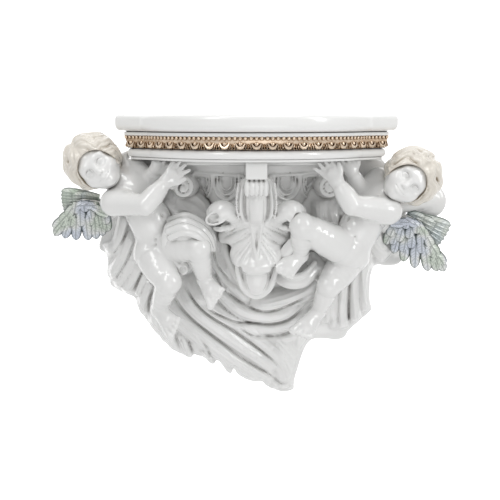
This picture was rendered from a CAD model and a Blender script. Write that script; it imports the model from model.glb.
# %% [markdown]
# # A glazed figure corbel
# The real object is a wall shelf of white glazed ware: a moulded, bow-fronted board with a gilt egg-and-dart
# band, carried by two winged children who lean out from a leafy console over a slung cloth. This lesson
# dresses the engineering model of it. The two solids that it loads are coarse, so each is replaced here by
# finer pieces that keep its outline, place and depth.

# %% Load the solids and note their size
import math

import bmesh
import bpy
import numpy as np
from mathutils import Euler, Matrix, Vector


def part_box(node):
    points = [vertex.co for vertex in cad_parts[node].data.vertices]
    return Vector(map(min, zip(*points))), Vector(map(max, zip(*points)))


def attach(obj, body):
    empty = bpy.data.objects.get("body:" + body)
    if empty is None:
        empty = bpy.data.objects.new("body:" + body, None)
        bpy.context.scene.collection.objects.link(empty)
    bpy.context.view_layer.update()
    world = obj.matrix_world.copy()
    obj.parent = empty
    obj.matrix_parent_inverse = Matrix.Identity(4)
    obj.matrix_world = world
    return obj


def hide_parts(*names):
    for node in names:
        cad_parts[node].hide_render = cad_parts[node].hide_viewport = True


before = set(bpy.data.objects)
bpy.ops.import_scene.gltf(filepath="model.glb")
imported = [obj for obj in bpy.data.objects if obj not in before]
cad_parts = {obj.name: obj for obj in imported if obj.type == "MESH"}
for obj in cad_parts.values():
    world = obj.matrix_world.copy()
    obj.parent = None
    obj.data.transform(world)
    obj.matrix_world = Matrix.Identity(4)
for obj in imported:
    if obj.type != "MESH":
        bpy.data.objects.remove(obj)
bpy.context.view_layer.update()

shelf_low, shelf_high = (Vector(corner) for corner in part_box("shelf"))
bracket_low, bracket_high = (Vector(corner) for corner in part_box("figure_bracket"))
MM = 0.001
print("shelf", [round(v / MM) for v in shelf_high - shelf_low], "mm")
print("bracket", [round(v / MM) for v in bracket_high - bracket_low], "mm")

# %% [markdown]
# ## The camera
# The photograph was taken level with the top of the board, from about seven times the board's depth away, and
# a little downwards. The top face is seen edge on, which is what fixes the camera's height. A long lens from
# there gives the same slight perspective, so the camera comes first and every later piece is judged through
# it.

# %% Camera
EYE_DISTANCE = 1.47  # from the board's front edge
PITCH = math.radians(7.09)
FOCAL_PIXELS = 1089  # the focal length in pixels of the picture
AXIS_PIXEL = 256.5  # where the corbel's centre line falls across that picture
PICTURE_WIDTH = 500
SENSOR_WIDTH = 36

bpy.ops.object.select_all(action="DESELECT")
eye = Vector((0, shelf_low.y - EYE_DISTANCE, shelf_high.z))
bpy.ops.object.camera_add(location=eye, rotation=(math.pi / 2 - PITCH, 0, 0))
camera = bpy.context.object
camera.name = "camera"
camera.data.sensor_width = SENSOR_WIDTH
camera.data.lens = SENSOR_WIDTH * FOCAL_PIXELS / PICTURE_WIDTH
camera.data.shift_x = (PICTURE_WIDTH / 2 - AXIS_PIXEL) / PICTURE_WIDTH
bpy.context.scene.camera = camera
print("lens", round(camera.data.lens, 1), "mm, eye", [round(v, 3) for v in eye])

# %% [markdown]
# ## Light
# Glaze shows its shape by what it reflects: broad soft windows make long white streaks on every fold. A tall
# window stands at the left and a narrower one at the right, a long one hangs above, and a weak one fills from
# below. The world is pale, so that shadows stay open as they do in a studio with white walls.

# %% Soft studio light
LIGHT_AIM = Vector((0, -0.05, -0.08))
LIGHTS = {  # place, size and power
    "window_left": ((-1.1, -1.5, 1.3), (0.5, 1.5), 9.5),
    "window_right": ((1.5, -1.2, 0.7), (0.35, 1.2), 8.5),
    "window_top": ((0.1, -0.6, 1.9), (1.6, 0.35), 9),
    "low_fill": ((0.2, -2.0, -0.9), (1.4, 1.0), 4.5),
}
WORLD_STRENGTH = 0.52

for name, (place, size, power) in LIGHTS.items():
    bpy.ops.object.light_add(type="AREA", location=place)
    light = bpy.context.object
    light.name = name
    light.data.shape = "RECTANGLE"
    light.data.size, light.data.size_y = size
    light.data.energy = power
    light.rotation_euler = (LIGHT_AIM - light.location).to_track_quat("-Z", "Y").to_euler()

world = bpy.data.worlds.new("studio")
bpy.context.scene.world = world
world.use_nodes = True
world.node_tree.nodes["Background"].inputs["Color"].default_value = (1, 1, 1, 1)
world.node_tree.nodes["Background"].inputs["Strength"].default_value = WORLD_STRENGTH
bpy.context.scene.view_settings.view_transform = "Standard"

# %% [markdown]
# ## Glaze and gilt
# White glaze is a thin layer of glass over a white body. It is almost evenly white, glossy, a trace greyer
# and browner where it pools in recesses, and it ripples a little. The pools are found by the surface itself:
# a node that compares each point with its surroundings tells crevice from crest, and it works from any side.
# A hollow gets a deeper tone there, a crest gets the pure white. The gilding is done the same way, in gold
# over brown.

# %% Node helpers
def new_finish(name):
    """A material, its tree and its shader."""
    finish = bpy.data.materials.new(name)
    finish.use_nodes = True
    return finish, finish.node_tree, finish.node_tree.nodes["Principled BSDF"]


def node(tree, kind, **values):
    """Adds a node. Each value goes to the input of that name, or else to the node's own setting."""
    made = tree.nodes.new(kind)
    for key, value in values.items():
        if key in made.inputs:
            made.inputs[key].default_value = value
        else:
            setattr(made, key, value)
    return made


def ramp(tree, source, stops):
    """Turns a number into a colour. The stops are (place, colour)."""
    made = tree.nodes.new("ShaderNodeValToRGB")
    while len(made.color_ramp.elements) < len(stops):
        made.color_ramp.elements.new(0.5)
    for element, (place, colour) in zip(made.color_ramp.elements, stops):
        element.position = place
        element.color = (*colour, 1)
    tree.links.new(source, made.inputs["Fac"])
    return made.outputs["Color"]


def hollows(tree, reach):
    """Dark in corners within reach of another surface, white in the open."""
    near = node(tree, "ShaderNodeAmbientOcclusion", Distance=reach, samples=8)
    return near.outputs["AO"]


def ripple(tree, shader, scale, strength, depth):
    """Makes the surface uneven, with waves of a depth in metres."""
    place = tree.nodes.new("ShaderNodeTexCoord")
    noise = node(tree, "ShaderNodeTexNoise", Scale=scale, Detail=2.0)
    tree.links.new(place.outputs["Object"], noise.inputs["Vector"])
    bump = node(tree, "ShaderNodeBump", Strength=strength, Distance=depth)
    tree.links.new(noise.outputs["Fac"], bump.inputs["Height"])
    tree.links.new(bump.outputs["Normal"], shader.inputs["Normal"])


# %% White glaze
POOL_REACH = 5 * MM


def white_glaze(name, pool=(0.36, 0.35, 0.335), body=(0.90, 0.90, 0.89)):
    """pool is the tone where the glaze stands deep, and body its tone in the open."""
    finish, tree, shader = new_finish(name)
    tone = ramp(tree, hollows(tree, POOL_REACH), [(0.15, pool), (0.8, body)])
    tree.links.new(tone, shader.inputs["Base Color"])
    shader.inputs["Roughness"].default_value = 0.2
    shader.inputs["Coat Weight"].default_value = 0.8
    shader.inputs["Coat Roughness"].default_value = 0.05
    ripple(tree, shader, 45, 0.05, 0.0006)
    return finish


board_glaze = white_glaze("board_glaze")
glaze = white_glaze("white_glaze", body=(0.83, 0.83, 0.82))
hair_glaze = white_glaze("hair_glaze", pool=(0.27, 0.19, 0.09), body=(0.76, 0.715, 0.64))


# %% Gilt
GILT_TONES = [(0.3, (0.07, 0.03, 0.008)), (0.65, (0.38, 0.22, 0.10)), (0.97, (0.88, 0.72, 0.56))]
GILT_REACH = 7 * MM


def gilt_finish(name):
    """Gold on the crests, brown stain in the hollows."""
    finish, tree, shader = new_finish(name)
    tree.links.new(ramp(tree, hollows(tree, GILT_REACH), GILT_TONES), shader.inputs["Base Color"])
    shader.inputs["Metallic"].default_value = 0.7
    shader.inputs["Roughness"].default_value = 0.26
    ripple(tree, shader, 400, 0.4, 0.0006)
    return finish


# %% The tinted glaze of the wings
BLUE_WASH = [
    (0.36, (0.64, 0.70, 0.62)), (0.46, (0.82, 0.83, 0.82)), (0.54, (0.72, 0.76, 0.82)),
    (0.66, (0.62, 0.66, 0.75)),
]
GREEN_WASH = [(0.36, (0.58, 0.68, 0.58)), (0.5, (0.74, 0.78, 0.73)), (0.64, (0.66, 0.73, 0.74))]
DARK_LINE = [(0.35, (0.16, 0.19, 0.18)), (0.85, (1, 1, 1))]
INK = [(0.1, (1, 1, 1)), (0.5, (0.20, 0.23, 0.22))]
PATCH_SCALE = 28.0
LINE_REACH = 6 * MM
BARBS, BARB_SLANT, QUILL_HALF, BARB_TONE = 46.0, -9.0, 0.12, 0.32


def sums(tree, operation, one, two=0.0):
    """A node that works out one number from two, each a socket or a plain number."""
    made = node(tree, "ShaderNodeMath", operation=operation)
    for socket, value in zip(made.inputs, (one, two)):
        if isinstance(value, float):
            socket.default_value = value
        else:
            tree.links.new(value, socket)
    return made.outputs[0]


def feather_lines(tree):
    """How strongly a line is drawn. A feather's uv map runs from quill to tip in x, and from edge to edge in
    y."""
    grid = node(tree, "ShaderNodeUVMap", uv_map="UVMap")
    parts = tree.nodes.new("ShaderNodeSeparateXYZ")
    tree.links.new(grid.outputs["UV"], parts.inputs["Vector"])
    run = parts.outputs["X"]
    twice = sums(tree, "MULTIPLY", parts.outputs["Y"], 2.0)
    across = sums(tree, "ABSOLUTE", sums(tree, "SUBTRACT", twice, 1.0))
    rim = sums(tree, "MAXIMUM", sums(tree, "POWER", across, 5.0), sums(tree, "POWER", run, 7.0))
    slant = sums(tree, "MULTIPLY", across, BARB_SLANT)
    barb = sums(tree, "SINE", sums(tree, "ADD", sums(tree, "MULTIPLY", run, BARBS), slant))
    quill = sums(tree, "LESS_THAN", across, QUILL_HALF)
    fine = sums(tree, "MAXIMUM", sums(tree, "ADD", barb, -0.2), quill)
    lines = sums(tree, "MAXIMUM", rim, sums(tree, "MULTIPLY", fine, BARB_TONE))
    return sums(tree, "MULTIPLY", lines, sums(tree, "GREATER_THAN", run, 0.02))


def wing_finish(name, washes):
    """Pale washes in patches, with a dark wash left in the lines round each feather and between its barbs."""
    finish, tree, shader = new_finish(name)
    place = tree.nodes.new("ShaderNodeTexCoord")
    patch = node(tree, "ShaderNodeTexNoise", Scale=PATCH_SCALE, Detail=1.0)
    tree.links.new(place.outputs["Object"], patch.inputs["Vector"])
    mixed = ramp(tree, patch.outputs["Fac"], washes)
    for layer in (ramp(tree, feather_lines(tree), INK), ramp(tree, hollows(tree, LINE_REACH), DARK_LINE)):
        mix = node(tree, "ShaderNodeMix", data_type="RGBA", blend_type="MULTIPLY")
        mix.inputs["Factor"].default_value = 1
        tree.links.new(mixed, mix.inputs[6])
        tree.links.new(layer, mix.inputs[7])
        mixed = mix.outputs[2]
    tree.links.new(mixed, shader.inputs["Base Color"])
    shader.inputs["Roughness"].default_value = 0.25
    shader.inputs["Coat Weight"].default_value = 0.5
    return finish


gilt = gilt_finish("gilt")
wing_glaze = wing_finish("wing_glaze", BLUE_WASH)
back_glaze = wing_finish("back_glaze", GREEN_WASH)
print("finishes", [finish.name for finish in (board_glaze, glaze, hair_glaze, gilt, wing_glaze, back_glaze)])

# %% [markdown]
# ## The board
# The board is moulded all round its front: a thick slab with a rounded nose, a fillet, a hollow that holds
# the gilt band, and a half-round torus over a small lip. On the real one a template was run round the edge.
# By hand this could be a profile spun about the bow, but the square ears break the arc. So the plan is drawn
# as one flat face, and that face is extruded downwards again and again. After each step its rim is moved to
# the plan's own parallel at the template's next point, which turns every corner by itself and ends flat at
# the wall.

# %% Plan of the board
EAR_DEPTH = 97 * MM
EAR_ANGLE = math.radians(38.5)
BOW_HALF = 167.4 * MM  # half of the bow's width, from ear to ear
half_width = shelf_high.x
board_depth = -shelf_low.y
ear_way = Vector((math.cos(EAR_ANGLE), math.sin(EAR_ANGLE)))
bow_rise = board_depth - EAR_DEPTH - (half_width - BOW_HALF) * math.tan(EAR_ANGLE)
BOW_RADIUS = (BOW_HALF**2 + bow_rise**2) / (2 * bow_rise)


def board_plan(setback, bow_steps=72):
    """The outline set in by a distance, from the wall on the right round the bow to the wall on the left."""
    centre_y = BOW_RADIUS - board_depth
    radius = BOW_RADIUS - setback
    side = half_width - setback
    corner = Vector((side, -EAR_DEPTH + setback * (1 - ear_way.y) / ear_way.x))
    to_corner = corner - Vector((0, centre_y))
    half = to_corner.dot(ear_way)
    run = half - math.sqrt(half**2 - (to_corner.length_squared - radius**2))
    meet = math.asin((corner.x - run * ear_way.x) / radius)
    bow = [
        Vector((radius * math.sin(turn), centre_y - radius * math.cos(turn)))
        for turn in (meet * (1 - 2 * i / bow_steps) for i in range(bow_steps + 1))
    ]
    return [Vector((side, 0)), corner, *bow, Vector((-corner.x, corner.y)), Vector((-side, 0))]


print("bow radius", round(BOW_RADIUS / MM, 1), "mm, plan points", len(board_plan(0)))

# %% The template: setback and height in mm, from the top down
def quarter(start, end, steps=7, hollow=False):
    """Points on a quarter round. It leaves the start upright, or level if it is hollow."""
    made = []
    for i in range(1, steps + 1):
        turn = math.pi / 2 * i / steps
        u, v = (1 - math.cos(turn), math.sin(turn)) if not hollow else (math.sin(turn), 1 - math.cos(turn))
        made.append((start[0] + (end[0] - start[0]) * u, start[1] + (end[1] - start[1]) * v))
    return made


top_nose = [(6, 100), *quarter((6, 100), (0, 93), hollow=True)]
under_nose = [(0, 86.5), *quarter((0, 86.5), (9, 76.5))]
fillet = [(15.5, 76.4), (15, 75.4), (13, 75.0), (12.4, 74.6), (12.4, 70.6), (13.0, 69.8), (14.8, 69.5)]
cove = quarter((14.8, 69.5), (24.5, 54), steps=8)
torus = [(24.5, 52)] + [
    (23 - 6.5 * math.sin(math.pi * i / 12), 45 + 6.5 * math.cos(math.pi * i / 12)) for i in range(13)
]
lip = [(21.5, 38.2), (21.5, 35.6), (22.1, 35)]
TEMPLATE = top_nose + under_nose + fillet + cove + torus + lip
print("template", len(TEMPLATE), "points")

# %% Run the template round the plan
def run_round(piece, steps, place, open_ends=False):
    """Extrudes an outline step by step. place gives the spot of each of the outline's points at each step."""
    bpy.ops.object.mode_set(mode="EDIT")
    bpy.ops.mesh.select_mode(type="VERT")
    bpy.ops.mesh.select_all(action="SELECT")
    edit = bmesh.from_edit_mesh(piece.data)
    mark = edit.verts.layers.int.new("mark")
    for vertex in edit.verts:
        vertex[mark] = vertex.index
    for step in range(steps):
        if step:
            bpy.ops.mesh.extrude_region_move()
        edit = bmesh.from_edit_mesh(piece.data)
        mark = edit.verts.layers.int["mark"]
        for vertex in edit.verts:
            if vertex.select:
                vertex.co = place(step, vertex[mark])
        bmesh.update_edit_mesh(piece.data)
    bpy.ops.mesh.select_all(action="SELECT")
    if open_ends:
        bpy.ops.mesh.fill_holes(sides=0)
        bpy.ops.mesh.select_all(action="SELECT")
    bpy.ops.mesh.normals_make_consistent(inside=False)
    bpy.ops.object.mode_set(mode="OBJECT")
    piece.data.attributes.remove(piece.data.attributes["mark"])


bpy.ops.object.select_all(action="DESELECT")
bpy.ops.mesh.primitive_circle_add(vertices=len(board_plan(0)), radius=half_width, fill_type="NGON")
board = bpy.context.object
board.name = board.data.name = "board"
board_rims = [board_plan(setback * MM) for setback, _ in TEMPLATE]
run_round(board, len(TEMPLATE), lambda step, point: (*board_rims[step][point], TEMPLATE[step][1] * MM))
print("board", len(board.data.polygons), "faces")


# %% Hand a finished piece to the frame
def take(piece):
    """Selects this piece alone."""
    bpy.ops.object.select_all(action="DESELECT")
    piece.select_set(True)
    bpy.context.view_layer.objects.active = piece


def join(name, pieces):
    take(pieces[0])
    for piece in pieces:
        piece.select_set(True)
    if len(pieces) > 1:
        bpy.ops.object.join()
    joined = bpy.context.object
    joined.name = joined.data.name = name
    return joined


def finish_piece(piece, finish, slot, node_name="figure_bracket", angle=None):
    """Applies its place, shades it, smooth all over where no angle is given, and hands it to the frame."""
    take(piece)
    bpy.ops.object.transform_apply(location=True, rotation=True, scale=True)
    if angle is None:
        bpy.ops.object.shade_smooth()
    else:
        bpy.ops.object.shade_smooth_by_angle(angle=math.radians(angle))
    piece.data.materials.clear()
    piece.data.materials.append(finish)
    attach(piece, "root")
    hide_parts(node_name)
    triangles = sum(len(p.vertices) - 2 for p in piece.data.polygons)
    print(piece.name, triangles, "triangles")


finish_piece(board, board_glaze, "white_glaze", "shelf", angle=28)

# %% The gilded ground of the hollow
def moulded_strip(name, template):
    """Runs a closed template of (setback, z) round the plan."""
    bpy.ops.object.select_all(action="DESELECT")
    bpy.ops.mesh.primitive_circle_add(vertices=len(template), radius=0.01, fill_type="NOTHING")
    strip = bpy.context.object
    strip.name = strip.data.name = name
    rims = [board_plan(setback * MM) for setback, _ in template]

    def place(step, point):
        return (*rims[point][step], template[point][1] * MM)

    run_round(strip, len(rims[0]), place, open_ends=True)
    return strip


cove_front = [(14.4, 69.2), *[(a - 0.9, b - 0.3) for a, b in cove[:-1]], (23.2, 53.2)]
cove_back = [(a + 3, b + 0.2) for a, b in reversed(cove_front)]
gilt_ground = moulded_strip("gilt_ground", cove_front + cove_back)
finish_piece(gilt_ground, gilt, "gilt", "shelf", angle=40)

# %% [markdown]
# ## The gilt band
# Egg and dart: an egg in a husk, then a dart, all round the hollow. A row of leaf tips runs above and beads
# below. On the real one a strip was pressed from a mould. Here one unit is made of primitives and copied
# along the hollow at the strip's own pitch, and each copy turns with the plan.

# %% One egg, its husk and a dart
def primitive(kind, name, place, size, turn, **values):
    """Adds a primitive. place and size are in millimetres."""
    bpy.ops.object.select_all(action="DESELECT")
    add = getattr(bpy.ops.mesh, f"primitive_{kind}_add")
    add(location=[v * MM for v in place], rotation=turn, **values)
    made = bpy.context.object
    made.name = made.data.name = name
    made.scale = [v * MM for v in size]
    bpy.ops.object.transform_apply(location=True, rotation=True, scale=True)
    return made


# the unit looks along -y and stands on z 0 at the middle of the band
LEAN = 0.45


def pellet(name, place, size, turn, segments, rings):
    return primitive("uv_sphere", name, place, size, turn, segments=segments, ring_count=rings, radius=1)


husk_round = dict(major_segments=18, minor_segments=6, major_radius=6.4, minor_radius=1.7)
dart_point = dict(vertices=6, radius1=1, radius2=0.15, depth=2)
unit_parts = [
    pellet("egg", (0, -0.6, -0.6), (4.0, 4.2, 5.8), (-LEAN, 0, 0), 14, 9),
    primitive("torus", "husk", (0, -1.2, 0.4), (1, 1.2, 1.5), (math.pi / 2 - LEAN, 0, 0), **husk_round),
    primitive("cone", "dart", (10.8, -1.2, 0), (2.0, 2.4, 8.4), (math.pi - LEAN, 0, 0), **dart_point),
]
for side in (-1, 1):
    sepal = pellet("sepal", (side * 8.6, -0.8, -1.4), (1.1, 1.8, 7), (-LEAN, side * 0.25, 0), 7, 6)
    unit_parts.append(sepal)
for k in range(5):
    unit_parts.append(pellet("bead", (-8.64 + 4.32 * k, 1.4, -8.0), (1.7, 2, 1.4), (0, 0, 0), 7, 5))
for k in range(3):
    unit_parts.append(pellet("leaf_tip", (-7.2 + 7.2 * k, -4.6, 6.8), (2.9, 2.8, 2.9), (-0.6, 0, 0), 8, 6))
gilt_unit = join("gilt_unit", unit_parts)
print("gilt unit", len(gilt_unit.data.polygons), "faces")

# %% Copies along the hollow
EGG_PITCH = 21.6 * MM
BAND_MIDDLE = 61 * MM
BAND_SETBACK = 18.5 * MM
BAND_END = 4 * MM
WALL_GAP = 13 * MM  # a unit's middle stands at least this far off the wall

route = board_plan(BAND_SETBACK)
lengths = [0.0]
for a, b in zip(route, route[1:]):
    lengths.append(lengths[-1] + (b - a).length)
half_length = lengths[-1] / 2
count = int((half_length - BAND_END) / EGG_PITCH)
gilt_units = []
for i in range(-count, count + 1):
    travel = half_length + i * EGG_PITCH
    k = max(j for j in range(len(route) - 1) if lengths[j] <= travel)
    spot = route[k].lerp(route[k + 1], (travel - lengths[k]) / (lengths[k + 1] - lengths[k]))
    spot.y = min(spot.y, -WALL_GAP)
    # on the bow a copy turns with the points on both sides of it, and on an ear with the ear
    on_bow = 2 < k < len(route) - 4
    way = route[k + 2] - route[k - 1] if on_bow else route[k + 1] - route[k]
    copied = gilt_unit.copy()
    copied.data = gilt_unit.data.copy()
    bpy.context.collection.objects.link(copied)
    turn = Matrix.Rotation(math.atan2(-way.y, -way.x), 4, "Z")
    copied.matrix_world = Matrix.Translation((*spot, BAND_MIDDLE)) @ turn
    gilt_units.append(copied)
bpy.data.objects.remove(gilt_unit)
for copied in gilt_units:
    take(copied)
    bpy.ops.object.transform_apply(location=True, rotation=True, scale=True)
gilt_band = join("gilt_band", gilt_units)
finish_piece(gilt_band, gilt, "gilt", "shelf", angle=60)

# %% [markdown]
# ## Clay
# Everything below the board is modelled freely: limbs run into bodies, leaves into stems, folds into each
# other. On the real one a modeller built it up from rolls and pellets of clay, pressed together and smoothed
# at the joints, and a mould took the shape. Extruding and bevelling can't blend forms like that, and booleans
# leave sharp creases. So these pieces are made another way, which is the modeller's own: a block of space
# holds, at each point of a fine grid, the distance to the clay's surface. Balls and ropes are pressed in or
# cut away with a soft joint, and at the end a skin of small quads is laid where the distance is nought.
# Inside the block, sizes are in millimetres.

# %% A block of clay
def quad_piece(name, spots, faces):
    """A new object from its corners and the four corners' numbers of each quad."""
    mesh = bpy.data.meshes.new(name)
    mesh.vertices.add(len(spots))
    mesh.vertices.foreach_set("co", spots.astype(np.float32).ravel())
    mesh.loops.add(faces.size)
    mesh.loops.foreach_set("vertex_index", faces.astype(np.int32).ravel())
    mesh.polygons.add(len(faces))
    mesh.polygons.foreach_set("loop_start", np.arange(0, faces.size, 4, dtype=np.int32))
    mesh.update(calc_edges=True)
    piece = bpy.data.objects.new(name, mesh)
    bpy.context.collection.objects.link(piece)
    return piece


class Clay:
    """depth holds, for every grid point, the distance to the clay's surface, below nought inside it."""

    def __init__(self, low, high, grain):
        self.grain = grain
        self.low = np.array(low, float)
        self.count = np.ceil((np.array(high) - self.low) / grain).astype(int) + 1
        self.depth = np.full(self.count, 1e3, np.float32)
        self.lines = [self.low[k] + grain * np.arange(self.count[k]) for k in range(3)]

    def window(self, low, high):
        """The grid points between two corners, as the first index and the one past the last."""
        first = np.floor((np.array(low) - self.low) / self.grain).astype(int)
        last = np.ceil((np.array(high) - self.low) / self.grain).astype(int) + 1
        return np.clip(first, 0, self.count), np.clip(last, 0, self.count)

    def places(self, first, last):
        x, y, z = (self.lines[k][first[k] : last[k]] for k in range(3))
        return x[:, None, None], y[None, :, None], z[None, None, :]

    def press(self, shapes, blend=2.0, cut=False):
        """Shapes are united sharply with each other, and then joined to the clay, or cut from it, softly."""
        reach = blend + 2 * self.grain
        first, last = self.window(
            np.min([low for low, _, _ in shapes], axis=0) - reach,
            np.max([high for _, high, _ in shapes], axis=0) + reach,
        )
        if (last <= first).any():
            return
        tool = np.full(last - first, 1e3, np.float32)
        for low, high, distance in shapes:
            one, two = self.window(low - reach, high + reach)
            if (two <= one).any():
                continue
            part = tuple(slice(a, b) for a, b in zip(one - first, two - first))
            tool[part] = np.minimum(tool[part], distance(*self.places(one, two)))
        cells = tuple(slice(a, b) for a, b in zip(first, last))
        mine = self.depth[cells]
        if cut:
            near = np.maximum(blend - np.abs(mine + tool), 0) / blend
            self.depth[cells] = np.maximum(mine, -tool) + near**2 * blend / 4
        else:
            near = np.maximum(blend - np.abs(mine - tool), 0) / blend
            self.depth[cells] = np.minimum(mine, tool) - near**2 * blend / 4

    def skin(self, name):
        """Lays one vertex in each cell that the surface passes through, and a quad across each edge that it
        cuts."""
        depth = self.depth
        cell_count = np.array(depth.shape) - 1
        strides = np.array([cell_count[1] * cell_count[2], cell_count[2], 1])
        owners, points, quads = [], [], []
        for axis in range(3):
            a, b = (np.moveaxis(depth, axis, 0)[part] for part in (slice(0, -1), slice(1, None)))
            a, b = np.moveaxis(a, 0, axis), np.moveaxis(b, 0, axis)
            crossed = np.argwhere((a < 0) != (b < 0))
            one, two = a[tuple(crossed.T)], b[tuple(crossed.T)]
            place = crossed.astype(np.float64)
            place[:, axis] += one / (one - two)
            u, v = [k for k in range(3) if k != axis]
            inner = (crossed[:, u] > 0) & (crossed[:, v] > 0)
            inner &= (crossed[:, u] < cell_count[u]) & (crossed[:, v] < cell_count[v])
            crossed, place, one = crossed[inner], place[inner], one[inner]
            corners = []
            for du, dv in ((0, 0), (-1, 0), (-1, -1), (0, -1)):
                cell = crossed.copy()
                cell[:, u] += du
                cell[:, v] += dv
                corners.append(cell @ strides)
                owners.append(corners[-1])
                points.append(place)
            quad = np.stack(corners, axis=1)
            flip = (one >= 0) != (axis == 1)
            quad[flip] = quad[flip][:, ::-1]
            quads.append(quad)
        owners, points, quads = (np.concatenate(part) for part in (owners, points, quads))
        cells, index = np.unique(owners, return_inverse=True)
        total = np.bincount(index)
        spots = np.stack([np.bincount(index, points[:, k]) / total for k in range(3)], axis=1)
        spots = (self.low + spots * self.grain) * MM
        faces = np.searchsorted(cells, quads)
        return quad_piece(name, spots, faces)


# %% Balls and ropes to press into it
def ball(centre, radii, turn=None):
    """A shape is its lowest and highest corner and its distance. radii may be one number or three, and
    turn's rows are the ball's own axes."""
    centre, radii = np.array(centre, float), np.broadcast_to(radii, 3).astype(float)

    def distance(x, y, z):
        off = [x - centre[0], y - centre[1], z - centre[2]]
        if turn is not None:
            off = [row[0] * off[0] + row[1] * off[1] + row[2] * off[2] for row in turn]
        near = np.sqrt(sum((d / r) ** 2 for d, r in zip(off, radii)))
        slope = np.sqrt(sum((d / r**2) ** 2 for d, r in zip(off, radii)))
        return near * (near - 1) / np.maximum(slope, 1e-6)

    return centre - radii.max(), centre + radii.max(), distance


def bar(start, end, radius, end_radius, thin=None, share=1.0):
    """A round bar between two points, squeezed along thin, where it is given, to a share of its radius."""
    start, end = np.array(start, float), np.array(end, float)
    along = end - start
    length = max(along @ along, 1e-9)

    def distance(x, y, z):
        off = [x - start[0], y - start[1], z - start[2]]
        t = np.clip((off[0] * along[0] + off[1] * along[1] + off[2] * along[2]) / length, 0, 1)
        off = [d - t * a for d, a in zip(off, along)]
        girth = radius + (end_radius - radius) * t
        square = off[0] ** 2 + off[1] ** 2 + off[2] ** 2
        if thin is None:
            return np.sqrt(square) - girth
        across = off[0] * thin[0] + off[1] * thin[1] + off[2] * thin[2]
        return (np.sqrt(square + across**2 * (1 / share**2 - 1)) - girth) * (0.5 + share / 2)

    reach = max(radius, end_radius)
    return np.minimum(start, end) - reach, np.maximum(start, end) + reach, distance


def smooth_line(points, count):
    """Points along a Catmull-Rom curve. Each may carry more numbers than x, y and z."""
    points = np.array(points, float)
    padded = np.vstack([2 * points[0] - points[1], points, 2 * points[-1] - points[-2]])
    made = []
    for t in np.linspace(0, len(points) - 1, count):
        i = min(int(t), len(points) - 2)
        f = t - i
        a, b, c, d = padded[i : i + 4]
        square, cube = 2 * a - 5 * b + 4 * c - d, 3 * b - a - 3 * c + d
        made.append(0.5 * (2 * b + (c - a) * f + square * f**2 + cube * f**3))
    return np.array(made)


def rope(stations, thin=None, share=1.0, fine=4):
    """A roll of clay through stations of (x, y, z, radius)."""
    line = smooth_line(stations, fine * (len(stations) - 1) + 1)
    if thin is not None:
        thin = np.array(thin, float) / np.linalg.norm(thin)
    return [
        bar(a[:3], b[:3], max(a[3], 0.2), max(b[3], 0.2), thin, share)
        for a, b in zip(line, line[1:])
    ]


def turned(angle):
    """The axes of a ball turned about y."""
    c, s = math.cos(angle), math.sin(angle)
    return np.array([(c, 0, s), (0, 1, 0), (-s, 0, c)])


def unit(way):
    way = np.array(way, float)
    return way / np.linalg.norm(way)


def polish(piece, turns=2):
    """Rubs the grid's marks off the skin."""
    take(piece)
    rub = piece.modifiers.new("polish", "SMOOTH")
    rub.factor = 0.5
    rub.iterations = turns
    bpy.ops.object.modifier_apply(modifier=rub.name)


def flatten_back(piece, plane=0.0, keep=0.4 * MM):
    """Takes the small quads off the wall side and closes it with one flat face."""
    take(piece)
    spots = np.empty(len(piece.data.vertices) * 3, np.float32)
    piece.data.vertices.foreach_get("co", spots)
    spots = spots.reshape(-1, 3)
    on_wall = spots[:, 1] > plane - keep
    spots[on_wall, 1] = plane
    piece.data.vertices.foreach_set("co", spots.ravel())
    corners = np.empty(len(piece.data.loops), np.int32)
    piece.data.loops.foreach_get("vertex_index", corners)
    piece.data.polygons.foreach_set("select", on_wall[corners.reshape(-1, 4)].all(axis=1))
    piece.data.vertices.foreach_set("select", np.zeros(len(spots), bool))
    piece.data.edges.foreach_set("select", np.zeros(len(piece.data.edges), bool))
    bpy.ops.object.mode_set(mode="EDIT")
    bpy.ops.mesh.select_mode(type="FACE")
    bpy.ops.mesh.delete(type="FACE")
    bpy.ops.mesh.select_mode(type="VERT")
    bpy.ops.mesh.select_all(action="SELECT")
    bpy.ops.mesh.fill_holes(sides=0)
    bpy.ops.object.mode_set(mode="OBJECT")


# %% [markdown]
# ## The cloth
# A heavy cloth is slung behind the figures. It hangs from the console's volutes, sweeps under the feet in
# long rolls, and runs out to a point below and to the right. In the casting it is a relief: a back slab with
# folds on it. Each fold is a soft ridge along a line that was read off the photograph, with its own width and
# height, and where two ridges meet they leave the narrow valley that cloth has. The outline is a smooth line
# too, and the edge is rounded over towards the wall.

# %% The cloth's outline and its folds
CLOTH_EDGE = [
    (-186, 40), (-205, 20), (-222, -40), (-238, -85), (-243, -104), (-232, -112), (-229, -126),
    (-231, -140), (-227, -152), (-225, -162), (-206, -172), (-189, -178), (-184, -188), (-180, -198),
    (-174, -208), (-167, -219), (-156, -232), (-147, -244), (-136, -256), (-124, -265), (-108, -272),
    (-101, -274), (-96, -268), (-84, -272), (-74, -279), (-66, -283), (-61, -276), (-54, -283), (-47, -293),
    (-39, -299), (-35, -288), (-30, -299), (-18, -307), (-2, -312), (8, -311), (18, -322), (34, -330),
    (50, -331), (60, -326), (59, -310), (63, -292), (70, -268), (80, -248), (92, -242), (110, -243),
    (124, -245), (136, -241), (141, -232), (147, -226), (160, -214), (175, -201), (177, -196), (173, -178),
    (173, -158), (174, -142), (182, -128), (196, -129), (212, -129), (222, -124), (232, -108), (236, -85),
    (226, -40), (200, 20), (182, 40),
]

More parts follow.
